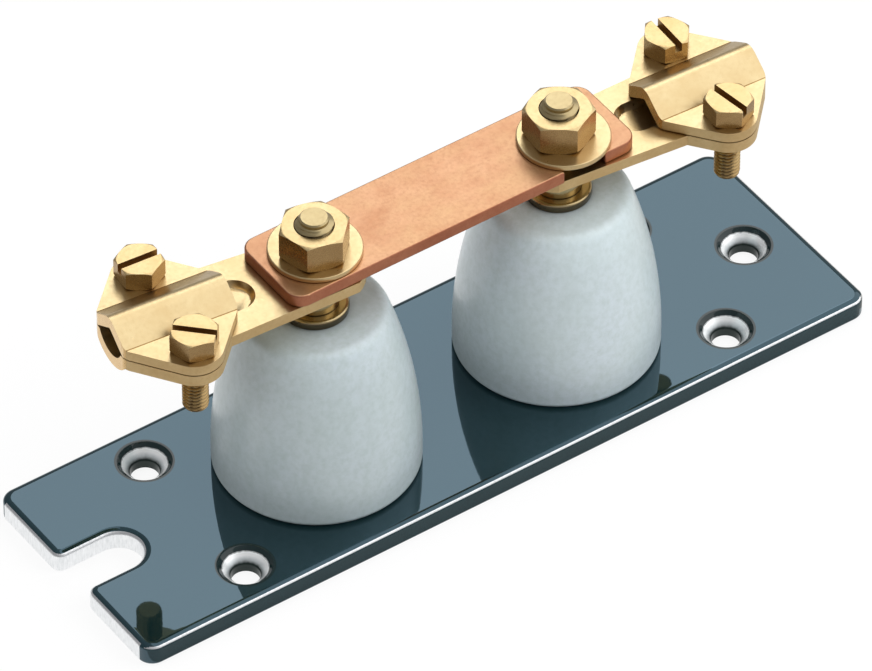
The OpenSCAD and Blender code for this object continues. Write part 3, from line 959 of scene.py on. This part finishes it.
def cut_end(form, axis, way, normal, offset):
    """Cuts the faces on the inner side of a stud by an upright plane, offset from the stud's axis."""
    faces = [face for face in form.faces if (face.calc_center_median().to_2d() - axis) @ way < 0]
    edges = dict.fromkeys(edge for face in faces for edge in face.edges)
    points = dict.fromkeys(vertex for face in faces for vertex in face.verts)
    spot = axis + normal * offset
    bmesh.ops.bisect_plane(
        form, geom=[*faces, *edges, *points], dist=CUT_NEAR, plane_co=(*spot, 0), plane_no=(*normal, 0))


def round_end(form, axis, way):
    """Makes a bar's inner end a half round about its stud, as wide as the bar."""
    across = Vector((-way.y, way.x))
    near = [vertex for vertex in form.verts if abs((vertex.co.to_2d() - axis) @ way) < END_REACH]
    radius = max((vertex.co.to_2d() - axis) @ across for vertex in near)
    for angle in END_CUT_ANGLES:
        step = math.tan(math.radians(angle)) * radius
        for normal, offset in ((way, -step), (across, -step), (across, step)):
            cut_end(form, axis, way, normal, offset)
    for vertex in form.verts:
        out = vertex.co.to_2d() - axis
        if out @ way < 0 and out.length > radius:
            move_in_plan(vertex, axis + out.normalized() * radius)
    bmesh.ops.remove_doubles(form, verts=form.verts, dist=END_NEAR)
    join_flat(form)
    form.normal_update()


def terminal(side):
    """Bar and cap of a conductor clamp, with ends in a painted copper reflection, sheared sides, and painted
    shade in the folds and along the cap's lower rim.
    """
    stud_low, stud_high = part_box(side + "_stud")
    cap_low, cap_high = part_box(side + "_clamp_cap")
    axis = ((stud_low + stud_high) / 2).to_2d()
    way = (((cap_low + cap_high) / 2).to_2d() - axis).normalized()
    seat = cap_low.z

    def finish(face):
        if not upright(face):
            return FACE_INDEX
        return END_INDEX if abs(face.normal.to_2d() @ way) > ALONG_TILT else SIDE_INDEX

    def shape_bar(form):
        level_trough(form, axis, way, seat)
        round_end(form, axis, way)

    def shape_cap(form):
        crease(form)
        parting(form, seat)

    finishes = (terminal_brass, sheared_brass, end_reflection_brass)
    dress(side + "_terminal_bar", finishes, BAR_EDGE, segments=3, index_of=finish, shape=shape_bar)
    folded = (*finishes, shade_brass)
    dress(side + "_clamp_cap", folded, CAP_EDGE, segments=3, index_of=finish, shape=shape_cap)


# Pieces

base_plate()
for side in SIDES:
    repaint(side + "_insulator", insulator_whites[side])
    repaint(side + "_foot_insert", foot_zinc)
    repaint(side + "_foot_screw", foot_zinc)
    stud(side)
    # Collars: upright sides near-black, painted shade.
    dress(side + "_head_insert", (collar_bronze, collar_shade), COLLAR_EDGE, segments=3)
    dress(side + "_spacer", (collar_bronze,), SPACER_EDGE)
    terminal(side)
    dress(side + "_link_washer", (terminal_brass,), WASHER_EDGE)
    nut(side)
    for row in ("_front_screw", "_rear_screw"):
        clamp_screw(side, row)
# Link: upright sides in the darker copper, painted shade.
dress("link_bar", (link_copper, copper_side_shade), LINK_EDGE, segments=3)


# Stage, light and camera

def floor():
    """Wide pale floor, a hair below the plate so that the two do not share a plane."""
    form = bmesh.new()
    bmesh.ops.create_grid(form, x_segments=8, y_segments=8, size=FLOOR_SIZE / 2)
    mesh = mesh_from("floor", form)
    mesh.materials.append(floor_white())
    ground = place("floor", mesh)
    ground.location.z = -FLOOR_DROP


def shade_card():
    """Shade card laid around the plate, a painted reflection of shade: polished faces show it; the camera,
    the floor and its shadow do not.
    """
    low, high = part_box("base_plate")
    inner = [(low.x - CARD_LEFT_GAP, low.y), (high.x, high.y + CARD_REAR_GAP)]
    outer = [(low.x - CARD_REACH, low.y - CARD_REACH), (high.x + CARD_REACH, high.y + CARD_REACH)]
    form = bmesh.new()
    rings = []
    for (x0, y0), (x1, y1) in (inner, outer):
        corners = ((x0, y0), (x1, y0), (x1, y1), (x0, y1))
        rings.append([form.verts.new((x, y, CARD_HEIGHT)) for x, y in corners])
    for i in range(4):
        j = (i + 1) % 4
        form.faces.new((rings[0][i], rings[1][i], rings[1][j], rings[0][j]))
    mesh = mesh_from("shade_card", form)
    mesh.materials.append(shade_card_grey())
    card = place("shade_card", mesh)
    card.visible_camera = False
    card.visible_diffuse = False
    card.visible_shadow = False


def lamp(name, kind, direction, distance, shown=True):
    """Lamp that shines on the object from a direction; polished faces show it or not."""
    light = bpy.data.lights.new(name, kind)
    holder = place(name, light)
    holder.location = VIEW_CENTRE + direction * distance
    holder.rotation_mode = "QUATERNION"
    holder.rotation_quaternion = direction.to_track_quat("Z", "Y")
    holder.visible_camera = False
    holder.visible_glossy = shown
    return light


def lights():
    """Soft key sun from the right, fills from the left and the front, and a panel that the plate mirrors."""
    key = lamp("key", "SUN", away(KEY_AZIMUTH, KEY_ELEVATION), SUN_DISTANCE)
    key.angle = math.radians(KEY_SPREAD)
    key.energy = KEY_STRENGTH
    left_way = away(LEFT_FILL_AZIMUTH, LEFT_FILL_ELEVATION)
    left = lamp("left_fill", "SUN", left_way, SUN_DISTANCE, shown=False)
    left.angle = math.radians(LEFT_FILL_SPREAD)
    left.energy = LEFT_FILL_STRENGTH
    front_way = away(FRONT_FILL_AZIMUTH, FRONT_FILL_ELEVATION)
    front = lamp("front_fill", "AREA", front_way, FRONT_FILL_DISTANCE, shown=False)
    front.shape = "SQUARE"
    front.size = FRONT_FILL_SIZE
    front.energy = FRONT_FILL_POWER
    rear = lamp("rear", "AREA", away(VIEW_AZIMUTH + 180, VIEW_ELEVATION), REAR_DISTANCE)
    rear.shape = "SQUARE"
    rear.size = REAR_SIZE
    rear.energy = REAR_RADIANCE * math.pi * REAR_SIZE ** 2


def surroundings():
    """Plain grey world, a little brighter towards one side."""
    world = bpy.data.worlds.new("world")
    bpy.context.scene.world = world
    world.use_nodes = True
    tree = world.node_tree
    direction = add(tree, "ShaderNodeTexCoord")
    facing = add(tree, "ShaderNodeVectorMath", operation="DOT_PRODUCT")
    tree.links.new(direction.outputs["Generated"], facing.inputs[0])
    facing.inputs[1].default_value = Vector(BRIGHT_SIDE).normalized()
    sky = ramp(tree, spread(tree, facing.outputs["Value"], 0, 1, start=0, end=1), [
        (0.0, (0.28, 0.28, 0.29)), (0.30, (0.32, 0.32, 0.33)), (0.55, (0.42, 0.42, 0.43)),
        (0.75, (0.50, 0.50, 0.51)), (1.0, (0.55, 0.55, 0.56))])
    tree.links.new(sky, tree.nodes["Background"].inputs["Color"])


def camera():
    """Long-lens camera at the photograph's viewpoint."""
    back = away(VIEW_AZIMUTH, VIEW_ELEVATION)
    right = Vector((0, 0, 1)).cross(back).normalized()
    up = back.cross(right)
    target = VIEW_CENTRE + right * VIEW_SHIFT_RIGHT + up * VIEW_SHIFT_UP
    data = bpy.data.cameras.new("camera")
    data.sensor_width = SENSOR_MM
    data.lens = LENS_MM
    data.clip_start = NEAREST_SEEN
    data.clip_end = FARTHEST_SEEN
    holder = place("camera", data)
    holder.location = target + back * VIEW_DISTANCE
    holder.rotation_mode = "QUATERNION"
    holder.rotation_quaternion = (-back).to_track_quat("-Z", "Y")
    bpy.context.scene.camera = holder


floor()
shade_card()
lights()
surroundings()
camera()
bpy.context.scene.view_settings.view_transform = "Standard"
